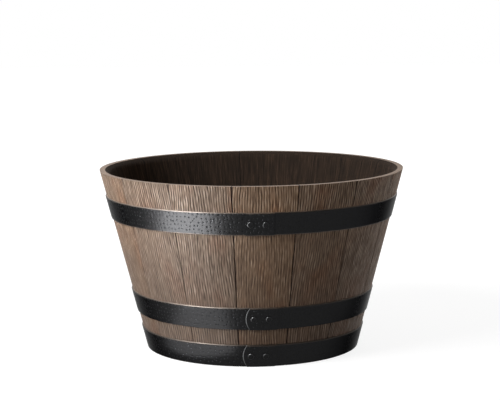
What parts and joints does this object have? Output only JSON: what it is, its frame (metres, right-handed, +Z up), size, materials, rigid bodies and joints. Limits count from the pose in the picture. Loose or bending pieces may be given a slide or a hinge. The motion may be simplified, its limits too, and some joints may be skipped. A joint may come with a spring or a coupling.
{
  "type": "barrel planter",
  "caption": "Tapered round planter built as a half barrel: bevelled wooden staves, riveted steel hoops with lapped ends, and a boarded bottom with drain holes.",
  "frame": {"origin": "centre of the footprint, on the floor", "axes": "+Z up along the barrel's axis, -Y towards the front, where the hoops' riveted laps are, +X to the right seen from the front"},
  "size_m": [0.3999, 0.4, 0.237],
  "materials": {
    "weathered_oak": "weathered, deep open grain, brushed, matt",
    "charred_oak": "charred dark, matt",
    "beech_dowel": "plain turned wood",
    "black_hammered_steel": "black paint over hammered strip, satin",
    "black_rivet_steel": "black paint over domed heads, satin"
  },
  "bodies": {
    "root": {"stave_01": "weathered_oak", "stave_02": "weathered_oak", "stave_03": "weathered_oak", "stave_04": "weathered_oak", "stave_05": "weathered_oak", "stave_06": "weathered_oak", "stave_07": "weathered_oak", "stave_08": "weathered_oak", "stave_09": "weathered_oak", "stave_10": "weathered_oak", "stave_11": "weathered_oak", "stave_12": "weathered_oak", "stave_13": "weathered_oak", "stave_14": "weathered_oak", "stave_15": "weathered_oak", "head_board_1": "charred_oak", "head_board_2": "charred_oak", "head_board_3": "charred_oak", "head_board_4": "charred_oak", "head_dowel_1_front": "beech_dowel", "head_dowel_1_back": "beech_dowel", "head_dowel_2_front": "beech_dowel", "head_dowel_2_back": "beech_dowel", "head_dowel_3_front": "beech_dowel", "head_dowel_3_back": "beech_dowel", "top_hoop": "black_hammered_steel", "middle_hoop": "black_hammered_steel", "bottom_hoop": "black_hammered_steel", "top_hoop_rivet_left": "black_rivet_steel", "top_hoop_rivet_right": "black_rivet_steel", "middle_hoop_rivet_left": "black_rivet_steel", "middle_hoop_rivet_right": "black_rivet_steel", "bottom_hoop_rivet_left": "black_rivet_steel", "bottom_hoop_rivet_right": "black_rivet_steel"}
  },
  "joints": []
}
